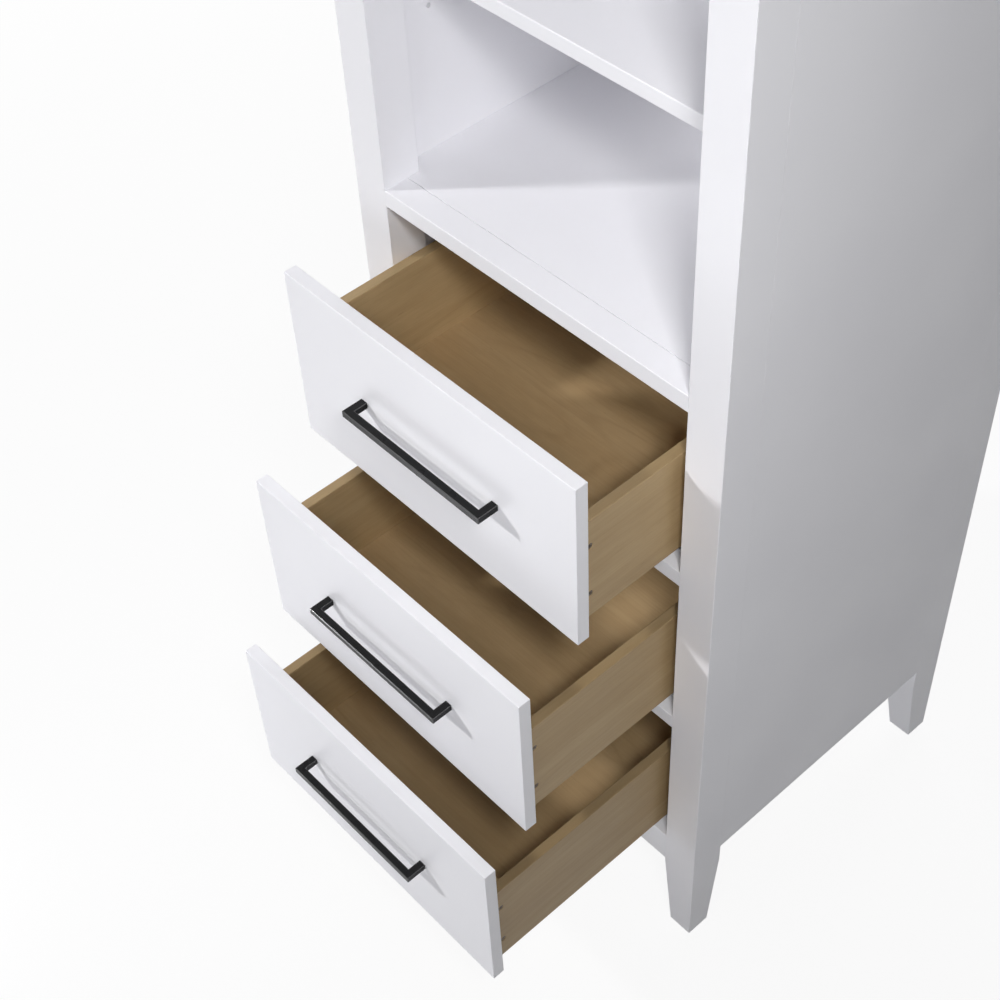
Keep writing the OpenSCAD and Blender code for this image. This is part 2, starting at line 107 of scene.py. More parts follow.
class NodeGraph:
    """A tree of shader nodes, with short calls that add and link them."""

    def __init__(self, owner: Material | World) -> None:
        """Starts an empty graph.

        Args:
            owner: The material or world that the graph belongs to.
        """
        self.owner = owner
        owner.use_nodes = True
        self.tree = owner.node_tree
        self.tree.nodes.clear()

    @classmethod
    def of_material(cls, name: str) -> "NodeGraph":
        """A graph for a new material."""
        return cls(bpy.data.materials.new(name))

    def add(self, kind: str, inputs: dict[str | int, object] | None = None, **settings: object) -> Node:
        """Adds one node.

        Args:
            kind: The node's type, without its ShaderNode prefix.
            inputs: Input name or number to a constant, or to the socket that feeds it.
            settings: The node's own properties.

        Returns:
            The new node.
        """
        node = self.tree.nodes.new("ShaderNode" + kind)
        for name, value in settings.items():
            setattr(node, name, value)
        for name, value in (inputs or {}).items():
            if isinstance(value, NodeSocket):
                self.tree.links.new(value, node.inputs[name])
            else:
                node.inputs[name].default_value = value
        return node

    def coordinates(self, shift: Point = (0, 0, 0), scale: Point = (1, 1, 1)) -> NodeSocket:
        """Object coordinates, shifted and then stretched.

        Args:
            shift: How far the pattern is moved, in metres.
            scale: How many times the pattern repeats in a metre, along each axis.

        Returns:
            The socket that gives the coordinates.
        """
        place = self.add("TexCoord").outputs["Object"]
        shifted = self.add("Mapping", {"Vector": place, "Location": shift}).outputs[0]
        return self.add("Mapping", {"Vector": shifted, "Scale": scale}).outputs[0]

    def noise(self, vector: NodeSocket, scale: float, detail: float = 2.0, roughness: float = 0.5,
              distortion: float = 0.0) -> NodeSocket:
        """A noise pattern from 0 to 1.

        Args:
            vector: The coordinates.
            scale: How many times it repeats in a metre of them.
            detail: How many finer layers it has.
            roughness: How strong the finer layers are.
            distortion: How much it swirls.

        Returns:
            The socket that gives the pattern.
        """
        node = self.add("TexNoise", {"Vector": vector, "Scale": scale, "Detail": detail, "Roughness": roughness,
                                     "Distortion": distortion})
        return node.outputs["Fac"]

    def spread(self, value: NodeSocket, old: Range, new: Range = (0.0, 1.0)) -> NodeSocket:
        """Carries a value's range onto another range.

        Args:
            value: The socket to read.
            old: The range that is read.
            new: The range that it becomes.

        Returns:
            The socket that gives the new value, kept inside the new range.
        """
        node = self.add("MapRange", {"Value": value, "From Min": old[0], "From Max": old[1], "To Min": new[0],
                                     "To Max": new[1]})
        return node.outputs["Result"]

    def blend(self, share: NodeSocket, first: Colour | NodeSocket, second: Colour | NodeSocket) -> NodeSocket:
        """Mixes two colours.

        Args:
            share: How much of the second colour shows.
            first: The first colour.
            second: The second colour.

        Returns:
            The socket that gives the mixed colour.
        """
        colours = [c if isinstance(c, NodeSocket) else (*c, 1.0) for c in (first, second)]
        node = self.add("Mix", {"Factor": share}, data_type="RGBA")
        for name, colour in zip(("A_Color", "B_Color"), colours):
            socket = next(s for s in node.inputs if s.identifier == name)
            if isinstance(colour, NodeSocket):
                self.tree.links.new(colour, socket)
            else:
                socket.default_value = colour
        return next(s for s in node.outputs if s.identifier == "Result_Color")

    def times(self, first: NodeSocket, second: float | NodeSocket) -> NodeSocket:
        """The product of two values."""
        return self.add("Math", {0: first, 1: second}, operation="MULTIPLY").outputs[0]

    def bump(self, height: NodeSocket, depth: float, strength: float = 0.5) -> NodeSocket:
        """A bumped normal.

        Args:
            height: The pattern that sets the height.
            depth: The height of the pattern, in metres.
            strength: How much of the bump shows.

        Returns:
            The socket that gives the normal.
        """
        return self.add("Bump", {"Height": height, "Distance": depth, "Strength": strength}).outputs["Normal"]

    def seen(self) -> NodeSocket:
        """1 where a ray comes straight from the camera, a gloss or a glass, and 0 elsewhere.

        Returns:
            The socket that gives it.
        """
        path = self.add("LightPath")
        first = self.add("Math", {0: path.outputs["Is Camera Ray"], 1: path.outputs["Is Glossy Ray"]},
                         operation="MAXIMUM").outputs[0]
        return self.add("Math", {0: first, 1: path.outputs["Is Transmission Ray"]}, operation="MAXIMUM").outputs[0]

    def surface(self, inputs: dict[str | int, object]) -> Material:
        """Ends the graph with its surface.

        Args:
            inputs: Input name to a constant or to a socket.

        Returns:
            The finished material.
        """
        shader = self.add("BsdfPrincipled", inputs)
        self.add("OutputMaterial", {"Surface": shader.outputs[0]})
        return self.owner


@dataclass(frozen=True)
class Finish(ABC):
    """A finish: its record slot, and the material that shows it."""

    slot: str = ""
    made: ClassVar[dict["Finish", Material]] = {}

    @abstractmethod
    def build(self) -> Material:
        """Builds the finish's material."""

    def material(self) -> Material:
        """The finish's material, built once.

        Returns:
            The material.
        """
        if self not in self.made:
            self.made[self] = self.build()
        return self.made[self]


@dataclass(frozen=True)
class SatinPaint(Finish):
    """Sprayed cool-white satin paint, with a faint orange peel."""

    slot: str = "white_paint"
    white: Colour = (0.912, 0.908, 0.938)
    shade: Colour = (0.900, 0.896, 0.928)
    roughness: Range = (0.40, 0.49)
    gloss: float = 0.38
    cloud_scale: float = 7.0
    peel_scale: float = 900.0
    peel_depth: float = 0.00006

    def build(self) -> Material:
        """Builds the finish's material.

        Returns:
            The material.
        """
        graph = NodeGraph.of_material("satin_white_paint")
        place = graph.coordinates()
        cloud = graph.noise(place, self.cloud_scale, detail=3.0)
        peel = graph.noise(place, self.peel_scale, roughness=0.6)
        colour = graph.blend(graph.spread(cloud, CORE), self.white, self.shade)
        rough = graph.spread(cloud, MOST, self.roughness)
        return graph.surface({"Base Color": colour, "Roughness": rough, "Specular IOR Level": self.gloss,
                              "Normal": graph.bump(peel, self.peel_depth)})


@dataclass(frozen=True)
class Figure:
    """One layer of a wood's figure: noise drawn out along the grain, and how strongly it shows.

    The noise repeats across and along the grain so many times in a metre. The layer shows over a range of the noise,
    and reaches its share at the end of that range.
    """

    across: float
    along: float
    shows: Range
    share: float = 1.0
    detail: float = 3.0
    roughness: float = 0.5
    distortion: float = 0.0

    def noise(self, graph: NodeGraph, grain: Axis, shift: Point) -> NodeSocket:
        """Draws the layer's noise.

        Args:
            graph: The graph to add to.
            grain: The way that the grain runs.
            shift: How far the pattern is moved.

        Returns:
            The socket that gives the noise, from 0 to 1.
        """
        scale = tuple(self.along if i == grain.value else self.across for i in range(3))
        return graph.noise(graph.coordinates(shift, scale), 1.0, self.detail, self.roughness, self.distortion)

    def show(self, graph: NodeGraph, noise: NodeSocket) -> NodeSocket:
        """How much of the layer's colour shows, from none to its share over the range in which it shows."""
        return graph.spread(noise, self.shows, (0.0, self.share))


@dataclass(frozen=True)
class ClearMaple(Finish):
    """Clear-coated maple: soft bands, faint growth lines, a quiet mottle, fine fibres and a few pores."""

    slot: str = "maple"
    grain: Axis = Axis.X
    shift: Point = (0.0, 0.0, 0.0)
    light: Colour = (0.440, 0.320, 0.174)
    dark: Colour = (0.388, 0.273, 0.142)
    line: Colour = (0.250, 0.157, 0.070)
    fleck: Colour = (0.140, 0.080, 0.035)
    roughness: Range = (0.41, 0.54)
    gloss: float = 0.22
    coat: float = 0.05
    coat_roughness: float = 0.25
    fibre_depth: float = 0.00006
    ring_count: float = 26.0
    bands: ClassVar[Figure] = Figure(16.0, 1.3, (0.30, 0.70), detail=5.0, roughness=0.55, distortion=0.8)
    mottle: ClassVar[Figure] = Figure(90.0, 26.0, (0.35, 0.70), 0.13, roughness=0.6)
    swell: ClassVar[Figure] = Figure(7.0, 0.8, (0.32, 0.50), 0.24, detail=2.0, roughness=0.45, distortion=0.6)
    fade: ClassVar[Figure] = Figure(14.0, 3.0, (0.42, 0.66))
    fibres: ClassVar[Figure] = Figure(430.0, 6.0, (0.42, 0.72), 0.15, detail=4.0, roughness=0.65)
    pores: ClassVar[Figure] = Figure(800.0, 60.0, (0.70, 0.80), 0.35, detail=2.0)

    def growth_lines(self, graph: NodeGraph) -> NodeSocket:
        """Thin lines along the contours of a long soft swell, which come and go.

        Args:
            graph: The graph to add to.

        Returns:
            The socket that gives how dark the lines are.
        """
        count = graph.times(self.swell.noise(graph, self.grain, self.shift), self.ring_count)
        ring = graph.add("Math", {0: count, 1: 0.5}, operation="PINGPONG").outputs[0]
        fade = self.fade.noise(graph, self.grain, self.shift)
        return graph.times(self.swell.show(graph, ring), self.fade.show(graph, fade))

    def build(self) -> Material:
        """Builds the finish's material, from the broadest layer of its figure to the finest.

        Returns:
            The material.
        """
        graph = NodeGraph.of_material("clear_maple")
        bands, mottle, fibres, pores = (layer.noise(graph, self.grain, self.shift)
                                        for layer in (self.bands, self.mottle, self.fibres, self.pores))
        colour = graph.blend(self.bands.show(graph, bands), self.light, self.dark)
        colour = graph.blend(self.mottle.show(graph, mottle), colour, self.line)
        colour = graph.blend(self.growth_lines(graph), colour, self.line)
        colour = graph.blend(self.fibres.show(graph, fibres), colour, self.line)
        colour = graph.blend(self.pores.show(graph, pores), colour, self.fleck)
        rough = graph.spread(fibres, MOST, self.roughness)
        return graph.surface({"Base Color": colour, "Roughness": rough, "Specular IOR Level": self.gloss,
                              "Coat Weight": self.coat, "Coat Roughness": self.coat_roughness,
                              "Normal": graph.bump(fibres, self.fibre_depth)})

    def cut(self, grain: Axis, shift: Point, tone: float) -> "ClearMaple":
        """The same maple as another board of the tree.

        Args:
            grain: The way that the board's grain runs.
            shift: The place in the pattern that the board comes from.
            tone: How light the board is beside this one.

        Returns:
            The board's finish.
        """
        return replace(self, grain=grain, shift=shift, light=tuple(c * tone for c in self.light),
                       dark=tuple(c * tone for c in self.dark))


@dataclass(frozen=True)
class SatinBlack(Finish):
    """Satin black coating with the faint grit of baked powder."""

    slot: str = "black_metal"
    black: Colour = (0.0065, 0.0065, 0.0070)
    worn: Colour = (0.0130, 0.0130, 0.0140)
    roughness: Range = (0.26, 0.36)
    gloss: float = 0.15
    grit_scale: float = 1500.0
    grit_depth: float = 0.00005
    grit_shows: Range = (0.45, 0.75)
    cloud_scale: float = 60.0

    def build(self) -> Material:
        """Builds the finish's material.

        Returns:
            The material.
        """
        graph = NodeGraph.of_material("satin_black_coating")
        place = graph.coordinates()
        grit = graph.noise(place, self.grit_scale, roughness=0.6)
        cloud = graph.noise(place, self.cloud_scale)
        colour = graph.blend(graph.spread(grit, self.grit_shows), self.black, self.worn)
        rough = graph.spread(cloud, MOST, self.roughness)
        return graph.surface({"Base Color": colour, "Roughness": rough, "Specular IOR Level": self.gloss,
                              "Normal": graph.bump(grit, self.grit_depth)})


@dataclass(frozen=True)
class ZincPlate(Finish):
    """Zinc-plated steel with fine rolling marks along one axis."""

    slot: str = "zinc"
    rolled: Axis = Axis.Y
    bright: Colour = (0.60, 0.61, 0.62)
    dull: Colour = (0.46, 0.47, 0.49)
    roughness: Range = (0.26, 0.42)
    marks: ClassVar[Figure] = Figure(900.0, 14.0, MOST)
    mark_depth: float = 0.00002
    spangle_scale: float = 120.0

    def build(self) -> Material:
        """Builds the finish's material.

        Returns:
            The material.
        """
        graph = NodeGraph.of_material("zinc_plate")
        marks = self.marks.noise(graph, self.rolled, (0.0, 0.0, 0.0))
        spangle = graph.noise(graph.coordinates(), self.spangle_scale)
        colour = graph.blend(graph.spread(spangle, CORE), self.bright, self.dull)
        rough = graph.spread(marks, self.marks.shows, self.roughness)
        return graph.surface({"Base Color": colour, "Roughness": rough, "Metallic": 1.0,
                              "Normal": graph.bump(marks, self.mark_depth)})


@dataclass(frozen=True)
class GlidePlastic(Finish):
    """Moulded off-white plastic, scuffed a little by the floor."""

    slot: str = "glide_plastic"
    clean: Colour = (0.70, 0.70, 0.67)
    scuffed: Colour = (0.48, 0.47, 0.44)
    roughness: Range = (0.42, 0.62)
    scuff_scale: float = 260.0
    scuff_shows: Range = (0.52, 0.72)
    pit_scale: float = 2200.0
    pit_depth: float = 0.00004

    def build(self) -> Material:
        """Builds the finish's material.

        Returns:
            The material.
        """
        graph = NodeGraph.of_material("glide_plastic")
        place = graph.coordinates()
        scuff = graph.noise(place, self.scuff_scale, detail=4.0, roughness=0.6)
        pits = graph.noise(place, self.pit_scale)
        colour = graph.blend(graph.spread(scuff, self.scuff_shows), self.clean, self.scuffed)
        return graph.surface({"Base Color": colour, "Roughness": graph.spread(scuff, MOST, self.roughness),
                              "Normal": graph.bump(pits, self.pit_depth, strength=0.6)})


PAINT = SatinPaint()
MAPLE = ClearMaple()
VENEER = ClearMaple(light=(0.500, 0.353, 0.192), dark=(0.447, 0.306, 0.158))
BLACK = SatinBlack()
RUBBED = SatinBlack(roughness=(0.13, 0.23), gloss=1.0)
ZINC = ZincPlate()
BRONZED = ZincPlate(bright=(0.16, 0.13, 0.10), dull=(0.09, 0.07, 0.055))
GLIDE = GlidePlastic()


def box_of(places: list[Vector]) -> tuple[Vector, Vector]:
    """The lowest and the highest corner of the box round some points."""
    return (Vector(min(p[i] for p in places) for i in range(3)),
            Vector(max(p[i] for p in places) for i in range(3)))


def extent(bm: BMesh) -> tuple[Vector, Vector]:
    """The lowest and the highest corner of a mesh."""
    return box_of([v.co for v in bm.verts])


def near(a: float, b: float) -> bool:
    """Whether two lengths are the same to a hundredth of a millimetre."""
    return abs(a - b) < SAME


def corner_edges(bm: BMesh, axis: Axis) -> list[BMEdge]:
    """The edges that run along an axis at the corners of the mesh's own box.

    Args:
        bm: The mesh.
        axis: The way that the edges run.

    Returns:
        Those edges.
    """
    low, high = extent(bm)

    def at_corner(place: Vector) -> bool:
        """Whether a point lies on one of the box's edges along the axis."""
        return all(near(place[i], low[i]) or near(place[i], high[i]) for i in axis.others)

    return [e for e in bm.edges if all(at_corner(v.co) for v in e.verts)
            and all(near(e.verts[0].co[i], e.verts[1].co[i]) for i in axis.others)]


def sharp_edges(bm: BMesh, least: float = 30.0) -> list[BMEdge]:
    """The edges where two faces meet at an angle.

    Args:
        bm: The mesh, with its normals set.
        least: The least angle, in degrees.

    Returns:
        Those edges.
    """
    return [e for e in bm.edges if e.calc_face_angle(0.0) > math.radians(least)]


def ease(bm: BMesh, edges: list[BMEdge], radius: float, segments: int = 3) -> None:
    """Rounds edges.

    Args:
        bm: The mesh.
        edges: The edges to round.
        radius: How far the rounding reaches from each edge.
        segments: How many facets it has.
    """
    if edges:
        bmesh.ops.bevel(bm, geom=edges, offset=radius, offset_type="OFFSET", segments=segments, profile=0.5,
                        affect="EDGES", material=-1)


def copy_of(node: str) -> BMesh:
    """A merged copy of a node's mesh, with its flat faces made whole.

    Args:
        node: The node's name.

    Returns:
        The copy.
    """
    bm = bmesh.new()
    bm.from_mesh(frame["nodes"][node].data)
    bmesh.ops.remove_doubles(bm, verts=bm.verts, dist=MERGE)
    bmesh.ops.dissolve_limit(bm, angle_limit=FLAT, verts=bm.verts, edges=bm.edges)
    return bm


def solids_of(node: str) -> list[tuple[Vector, Vector]]:
    """The box of each separate solid in a node.

    Args:
        node: The node's name.

    Returns:
        The lowest and highest corner of each solid, in the order of their places.
    """
    bm = copy_of(node)
    left, boxes = set(bm.verts), []
    while left:
        group, waiting = set(), [left.pop()]
        while waiting:
            vert = waiting.pop()
            group.add(vert)
            linked = {e.other_vert(vert) for e in vert.link_edges} & left
            left -= linked
            waiting.extend(linked)
        boxes.append(box_of([v.co for v in group]))
    bm.free()
    return sorted(boxes, key=lambda box: tuple(round(c / SAME) for c in box[0]))


def body_of(node: str) -> str:
    """The name of the body that a node rides on."""
    return frame["nodes"][node]["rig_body"]


def add_piece(bm: BMesh, name: str, finish: Finish, *nodes: str) -> Object:
    """Makes a shown piece of a mesh, in place of its nodes.

    Args:
        bm: The mesh, which is used up.
        name: The piece's name.
        finish: The piece's finish.
        nodes: The nodes that it stands for, which share a body.

    Returns:
        The piece.
    """
    bmesh.ops.recalc_face_normals(bm, faces=bm.faces)
    mesh = bpy.data.meshes.new(name)
    bm.to_mesh(mesh)
    bm.free()
    mesh.materials.append(finish.material())
    piece = bpy.data.objects.new(name, mesh)
    bpy.context.scene.collection.objects.link(piece)
    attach(piece, body_of(nodes[0]))
    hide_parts(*nodes)
    log.info("%s: %d faces, for %s", name, len(mesh.polygons), ", ".join(nodes))
    return piece


def eased_board(node: str, finish: Finish, radius: float, *axes: Axis) -> Object:
    """Shows a node as a board with its long edges rounded.

    Args:
        node: The node's name.
        finish: The board's finish.
        radius: The radius of its edges.
        axes: The ways that the rounded edges run.

    Returns:
        The piece.
    """
    bm = copy_of(node)
    ease(bm, [e for axis in axes for e in corner_edges(bm, axis)], radius)
    return add_piece(bm, node + "_shown", finish, node)


def dress(node: str, finish: Finish) -> None:
    """Gives a node that keeps its own shape its finish.

    Args:
        node: The node's name.
        finish: Its finish.
    """
    piece = frame["nodes"][node]
    piece.data.materials.clear()
    piece.data.materials.append(finish.material())
    log.info("%s: its own shape", node)


@dataclass
class Post:
    """A square corner post whose leg tapers on its two inner faces."""

    node: str
    foot: float = 0.032
    taper_h: float = 0.120
    radius: float = 0.0008

    def build(self) -> Object:
        """Builds the post from its foot upwards.

        Returns:
            The piece.
        """
        low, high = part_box(self.node)
        outer = Vector((low.x if high.x < 0 else high.x, low.y if high.y < 0 else high.y, 0))
        inner = Vector((high.x if high.x < 0 else low.x, high.y if high.y < 0 else low.y, 0))
        toe = outer + Vector((math.copysign(self.foot, inner.x - outer.x),
                              math.copysign(self.foot, inner.y - outer.y), 0))
        bm = bmesh.new()
        corners = [(outer.x, outer.y), (toe.x, outer.y), (toe.x, toe.y), (outer.x, toe.y)]
        sole = bm.faces.new([bm.verts.new((x, y, low.z)) for x, y in corners])
        knee = self.extrude(bm, sole, low.z + self.taper_h)
        for vert in knee.verts:
            vert.co.x = inner.x if near(vert.co.x, toe.x) else vert.co.x
            vert.co.y = inner.y if near(vert.co.y, toe.y) else vert.co.y
        self.extrude(bm, knee, high.z, keep=False)
        bmesh.ops.recalc_face_normals(bm, faces=bm.faces)
        sharp = [e for e in sharp_edges(bm) if not all(near(v.co.z, high.z) for v in e.verts)]
        seam = [e for e in sharp if all(near(v.co.x, outer.x) and near(v.co.y, inner.y) for v in e.verts)]
        ease(bm, [e for e in sharp if e not in seam], self.radius)
        return add_piece(bm, self.node + "_shown", PAINT, self.node)

    def extrude(self, bm: BMesh, face: BMFace, height: float, keep: bool = True) -> BMFace:
        """Draws a level face up to a height.

        Args:
            bm: The mesh.
            face: The face.
            height: The height of the new face.
            keep: Whether the first face is the solid's end, and so stays.

        Returns:
            The new face.
        """
        made = bmesh.ops.extrude_face_region(bm, geom=[face], use_keep_orig=keep)["geom"]
        top = next(g for g in made if isinstance(g, BMFace))
        for vert in top.verts:
            vert.co.z = height
        if not keep and face.is_valid:
            bmesh.ops.delete(bm, geom=[face], context="FACES_ONLY")
        return top


@dataclass
class Carcass:
    """The cabinet's frame, boards, back and feet."""

    edge: float = 0.0007
    seam: float = 0.0004
    joint: float = 0.00017
    glide_r: float = 0.011
    glide_h: float = 0.003
    glide_edge: float = 0.0008
    nail_r: float = 0.0012
    glide_segments: int = 32
    nail_segments: int = 12
    rails: tuple[str, ...] = ("top_rail", "deck_rail", "upper_drawer_rail", "lower_drawer_rail", "bottom_rail",
                              "rear_top_rail", "rear_bottom_rail")

    def build(self) -> None:
        """Builds every piece of the carcass."""
        for side in ("left", "right"):
            for end in ("front", "rear"):
                Post(f"post_{end}_{side}").build()
            self.side_panel(f"side_panel_{side}")
            eased_board(f"slide_cleats_{side}", replace(MAPLE, grain=Axis.Y), self.edge, Axis.Y)
        for rail in self.rails:
            eased_board(rail, PAINT, self.edge, Axis.X)
        for board in ("deck_board", "bottom_board"):
            self.fixed_board(board)
        eased_board("top_board", PAINT, self.edge, Axis.X, Axis.Y, Axis.Z)
        dress("back_panel", PAINT)
        self.glides()

    def side_panel(self, node: str) -> Object:
        """Shows a side panel, with its lower edge rounded and a fine open joint against each post.

        Args:
            node: The panel's node.

        Returns:
            The piece.
        """
        bm = copy_of(node)
        low, high = extent(bm)
        ends = [e for e in bm.edges if all(near(v.co.z, low.z) for v in e.verts)
                and near(e.verts[0].co.x, e.verts[1].co.x)
                and any(near(e.verts[0].co.x, x) for x in (low.x, high.x))]
        ease(bm, ends, self.edge)
        outer = [v for v in bm.verts if near(v.co.x, low.x if high.x < 0 else high.x)]
        reach = max(v.co.y for v in outer)
        for vert in (v for v in outer if near(abs(v.co.y), reach)):
            vert.co.y -= math.copysign(self.joint, vert.co.y)
        return add_piece(bm, node + "_shown", PAINT, node)

    def fixed_board(self, node: str) -> Object:
        """Shows the deck or the bottom board, with a fine gap between it and the rail before it.

        Args:
            node: The board's node.

        Returns:
            The piece.
        """
        bm = copy_of(node)
        top = extent(bm)[1].z
        level = [v for v in bm.verts if near(v.co.z, top)]
        front = min(v.co.y for v in level)
        edge = [v for v in bm.verts if near(v.co.y, front)]
        bmesh.ops.translate(bm, verts=edge, vec=(0.0, self.seam, 0.0))
        return add_piece(bm, node + "_shown", PAINT, node)

    def glides(self) -> Object:
        """Builds the four foot glides, each a disc with a rounded rim on a nail.

        Returns:
            The piece.
        """
        low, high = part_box("foot_glides")
        nail_h = high.z - low.z - self.glide_h
        bm = bmesh.new()
        for x in (low.x + self.glide_r, high.x - self.glide_r):
            for y in (low.y + self.glide_r, high.y - self.glide_r):
                rim = self.rod(bm, self.glide_r, self.glide_h, (x, y, low.z + self.glide_h / 2),
                               self.glide_segments)
                ease(bm, [e for e in bm.edges if all(v in rim and near(v.co.z, low.z) for v in e.verts)],
                     self.glide_edge)
                self.rod(bm, self.nail_r, nail_h, (x, y, high.z - nail_h / 2), self.nail_segments)
        return add_piece(bm, "foot_glides_shown", GLIDE, "foot_glides")

    def rod(self, bm: BMesh, radius: float, height: float, middle: Point, segments: int) -> list[BMVert]:
        """Adds an upright cylinder.

        Args:
            bm: The mesh.
            radius: Its radius.
            height: Its height.
            middle: Its middle.
            segments: How many sides it has.

        Returns:
            Its vertices.
        """
        return bmesh.ops.create_cone(bm, cap_ends=True, segments=segments, radius1=radius, radius2=radius,
                                     depth=height, matrix=Matrix.Translation(middle))["verts"]


@dataclass
class Screw:
    """A screw with a cross recess, pointing along its own +Z from the top of its head."""

    radius: float = 0.002
    length: float = 0.030
    head: Head = Head.COUNTERSUNK
    head_r: float = 0.004
    head_h: float = 0.0025
    rim: float = 0.0003
    crown_share: float = 0.82
    crown_h_share: float = 0.45
    arm: float = 0.0021
    arm_half: float = 0.00045
    recess: float = 0.0012
    recess_taper: float = 0.62
    sink: float = 0.0
    segments: int = 24

    def outline(self) -> list[tuple[float, float]]:
        """The rings of the head and the shank, from the head's top down.

        Returns:
            The radius and the depth of each ring.
        """
        shank = (self.radius, self.length - self.radius)
        if self.head is Head.COUNTERSUNK:
            return [(self.head_r, 0.0), (self.head_r, self.rim), (self.radius, self.head_h), shank]
        return [(self.head_r * self.crown_share, 0.0), (self.head_r, self.head_h * self.crown_h_share),
                (self.head_r, self.head_h), (self.radius, self.head_h), shank]

    def add(self, bm: BMesh, place: Matrix) -> None:
        """Adds one screw to a mesh.

        Args:
            bm: The mesh.
            place: Where the head's top is, and which way the screw points.
        """
        rings = [self.ring(bm, radius, depth) for radius, depth in self.outline()]
        cross = self.cross(bm, 1.0, 0.0)
        floor = self.cross(bm, self.recess_taper, self.recess)
        point = bm.verts.new((0, 0, self.length))
        bm.faces.new(floor)
        self.band(bm, floor, cross)
        bmesh.ops.triangle_fill(bm, edges=self.round(cross) + self.round(rings[0]), normal=(0, 0, 1),
                                use_beauty=True)
        for first, second in zip(rings, rings[1:]):
            self.band(bm, first, second)
        for a, b in zip(rings[-1], rings[-1][1:] + rings[-1][:1]):
            bm.faces.new((a, b, point))
        used = [v for loop in (cross, floor, *rings) for v in loop] + [point]
        bmesh.ops.transform(bm, matrix=place @ Matrix.Translation((0, 0, self.sink)), verts=used)

    def band(self, bm: BMesh, first: list[BMVert], second: list[BMVert]) -> None:
        """Joins two closed loops of vertices with a band of faces.

        Args:
            bm: The mesh.
            first: One loop.
            second: The other, with as many vertices in the same order.
        """
        for a, b, c, d in zip(first, first[1:] + first[:1], second[1:] + second[:1], second):
            bm.faces.new((a, b, c, d))

    def ring(self, bm: BMesh, radius: float, depth: float) -> list[BMVert]:
        """Adds a level circle of edges.

        Args:
            bm: The mesh.
            radius: Its radius.
            depth: How far it lies below the head's top.

        Returns:
            Its vertices, in order.
        """
        angles = [math.tau * k / self.segments for k in range(self.segments)]
        return self.loop(bm, [Vector((radius * math.cos(a), radius * math.sin(a), depth)) for a in angles])

    def cross(self, bm: BMesh, size: float, depth: float) -> list[BMVert]:
        """Adds the outline of the recess.

        Args:
            bm: The mesh.
            size: Its share of the full size.
            depth: How far it lies below the head's top.

        Returns:
            Its vertices, in order.
        """
        a, h = self.arm * size, self.arm_half * size
        corner = [(a, -h), (a, h), (h, h)]
        return self.loop(bm, [Matrix.Rotation(math.radians(90 * k), 3, "Z") @ Vector((x, y, depth))
                              for k in range(4) for x, y in corner])

    def loop(self, bm: BMesh, points: list[Vector]) -> list[BMVert]:
        """Adds a closed loop of edges.

        Args:
            bm: The mesh.
            points: The points that it runs through.

        Returns:
            Its vertices, in order.
        """
        verts = [bm.verts.new(p) for p in points]
        for first, second in zip(verts, verts[1:] + verts[:1]):
            bm.edges.new((first, second))
        return verts

    def round(self, verts: list[BMVert]) -> list[BMEdge]:
        """The edges between neighbours in a closed loop of vertices."""
        return [e for a, b in zip(verts, verts[1:] + verts[:1]) for e in a.link_edges if e.other_vert(a) is b]


@dataclass
class Shelves:
    """The two adjustable shelves on their steel pins."""

    edge: float = 0.0010
    pin_r: float = 0.0025
    collar_r: float = 0.0037
    collar_t: float = 0.0015
    plug: float = 0.008
    stand: float = 0.009
    tip: float = 0.0006
    segments: int = 24

    def build(self) -> None:
        """Builds the shelves and their pins."""
        for node in ("lower_shelf", "upper_shelf"):
            eased_board(node, PAINT, self.edge, Axis.X)
        self.pins()

    def pins(self) -> Object:
        """Builds the eight pins, each turned from one rod with a collar.

        Returns:
            The piece.
        """
        low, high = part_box("shelf_pins")
        bm = bmesh.new()
        lower, upper = (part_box(n)[0].z - self.pin_r for n in ("lower_shelf", "upper_shelf"))
        for z in (lower, upper):
            for y in (low.y + self.collar_r, high.y - self.collar_r):
                for side in (-1, 1):
                    self.pin(bm, Vector((side * high.x, y, z)), side)
        return add_piece(bm, "shelf_pins_shown", ZINC, "shelf_pins")

    def pin(self, bm: BMesh, end: Vector, side: int) -> None:
        """Turns one pin about its own axis.

        Args:
            bm: The mesh.
            end: The middle of the pin's outer end, inside the side panel.
            side: 1 on the right, -1 on the left.
        """
        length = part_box("shelf_pins")[1].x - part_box("side_panel_right")[0].x + self.collar_t + self.stand
        collar = self.plug + self.collar_t
        outline = [(0, 0), (0, self.pin_r - self.tip), (self.tip, self.pin_r), (self.plug, self.pin_r),
                   (self.plug, self.collar_r), (collar, self.collar_r), (collar, self.pin_r),
                   (length - self.tip, self.pin_r), (length, self.pin_r - self.tip), (length, 0)]
        verts = [bm.verts.new((end.x - side * along, end.y, end.z + out)) for along, out in outline]
        edges = [bm.edges.new(pair) for pair in zip(verts, verts[1:])]
        bmesh.ops.spin(bm, geom=verts + edges, cent=end, axis=(1, 0, 0), dvec=(0, 0, 0), angle=math.tau,
                       steps=self.segments, use_merge=True, use_duplicate=False)
        bmesh.ops.remove_doubles(bm, verts=bm.verts, dist=MERGE)


